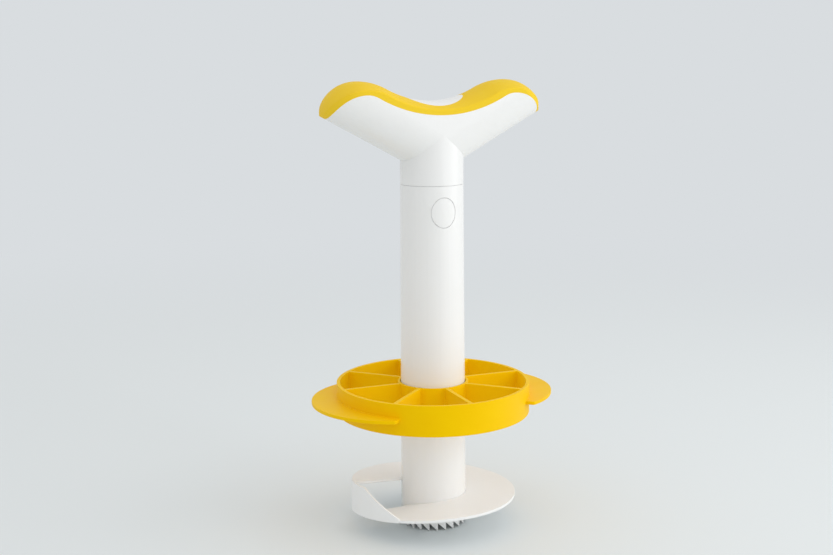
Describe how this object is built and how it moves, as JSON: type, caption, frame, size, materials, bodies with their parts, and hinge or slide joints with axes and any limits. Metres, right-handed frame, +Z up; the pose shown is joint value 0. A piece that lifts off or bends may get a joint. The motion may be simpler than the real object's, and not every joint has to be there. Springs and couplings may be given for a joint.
{
  "type": "pineapple slicer",
  "caption": "Screw-in pineapple slicer and corer with a toothed core tube, a one-turn spiral blade, a sliding wedge cutter and a lift-off curved grip handle.",
  "frame": {"origin": "on the core tube's axis, level with the tips of its teeth, where the tool stands", "axes": "+Z up the core tube towards the handle, X along the handle's two arms, -Y towards the visible release button"},
  "size_m": [0.134, 0.104, 0.2392],
  "materials": {
    "tube_plastic": "satin",
    "blade_plastic": "satin",
    "wedger_plastic": "satin",
    "handle_plastic": "satin",
    "grip_rubber": "satin soft touch"
  },
  "bodies": {
    "core": {"core_tube": "tube_plastic", "slicing_blade": "blade_plastic"},
    "handle": {"handle_shell": "handle_plastic", "handle_cover": "handle_plastic", "grip_pad": "grip_rubber", "stem_plug": "tube_plastic"},
    "front_button": {"release_button_front": "handle_plastic"},
    "back_button": {"release_button_back": "handle_plastic"},
    "wedge_cutter": {"wedger": "wedger_plastic"}
  },
  "joints": [
    {"name": "handle_lift", "type": "slide", "parent": "core", "child": "handle", "axis": [0, 0, 1], "range_m": [0, 0.06], "deforming": ["release_button_front", "release_button_back"]},
    {"name": "front_button_press", "type": "hinge", "parent": "handle", "child": "front_button", "pos_m": [0, -0.014, 0.146], "axis": [-1, 0, 0], "range_deg": [0, 6.5], "stiffness_Nm_per_rad": 3, "deforming": ["release_button_front"]},
    {"name": "back_button_press", "type": "hinge", "parent": "handle", "child": "back_button", "pos_m": [0, 0.014, 0.146], "axis": [1, 0, 0], "range_deg": [0, 6.5], "stiffness_Nm_per_rad": 3, "deforming": ["release_button_back"]},
    {"name": "wedger_slide", "type": "slide", "parent": "core", "child": "wedge_cutter", "axis": [0, 0, 1], "range_m": [-0.035, 0.118]}
  ]
}
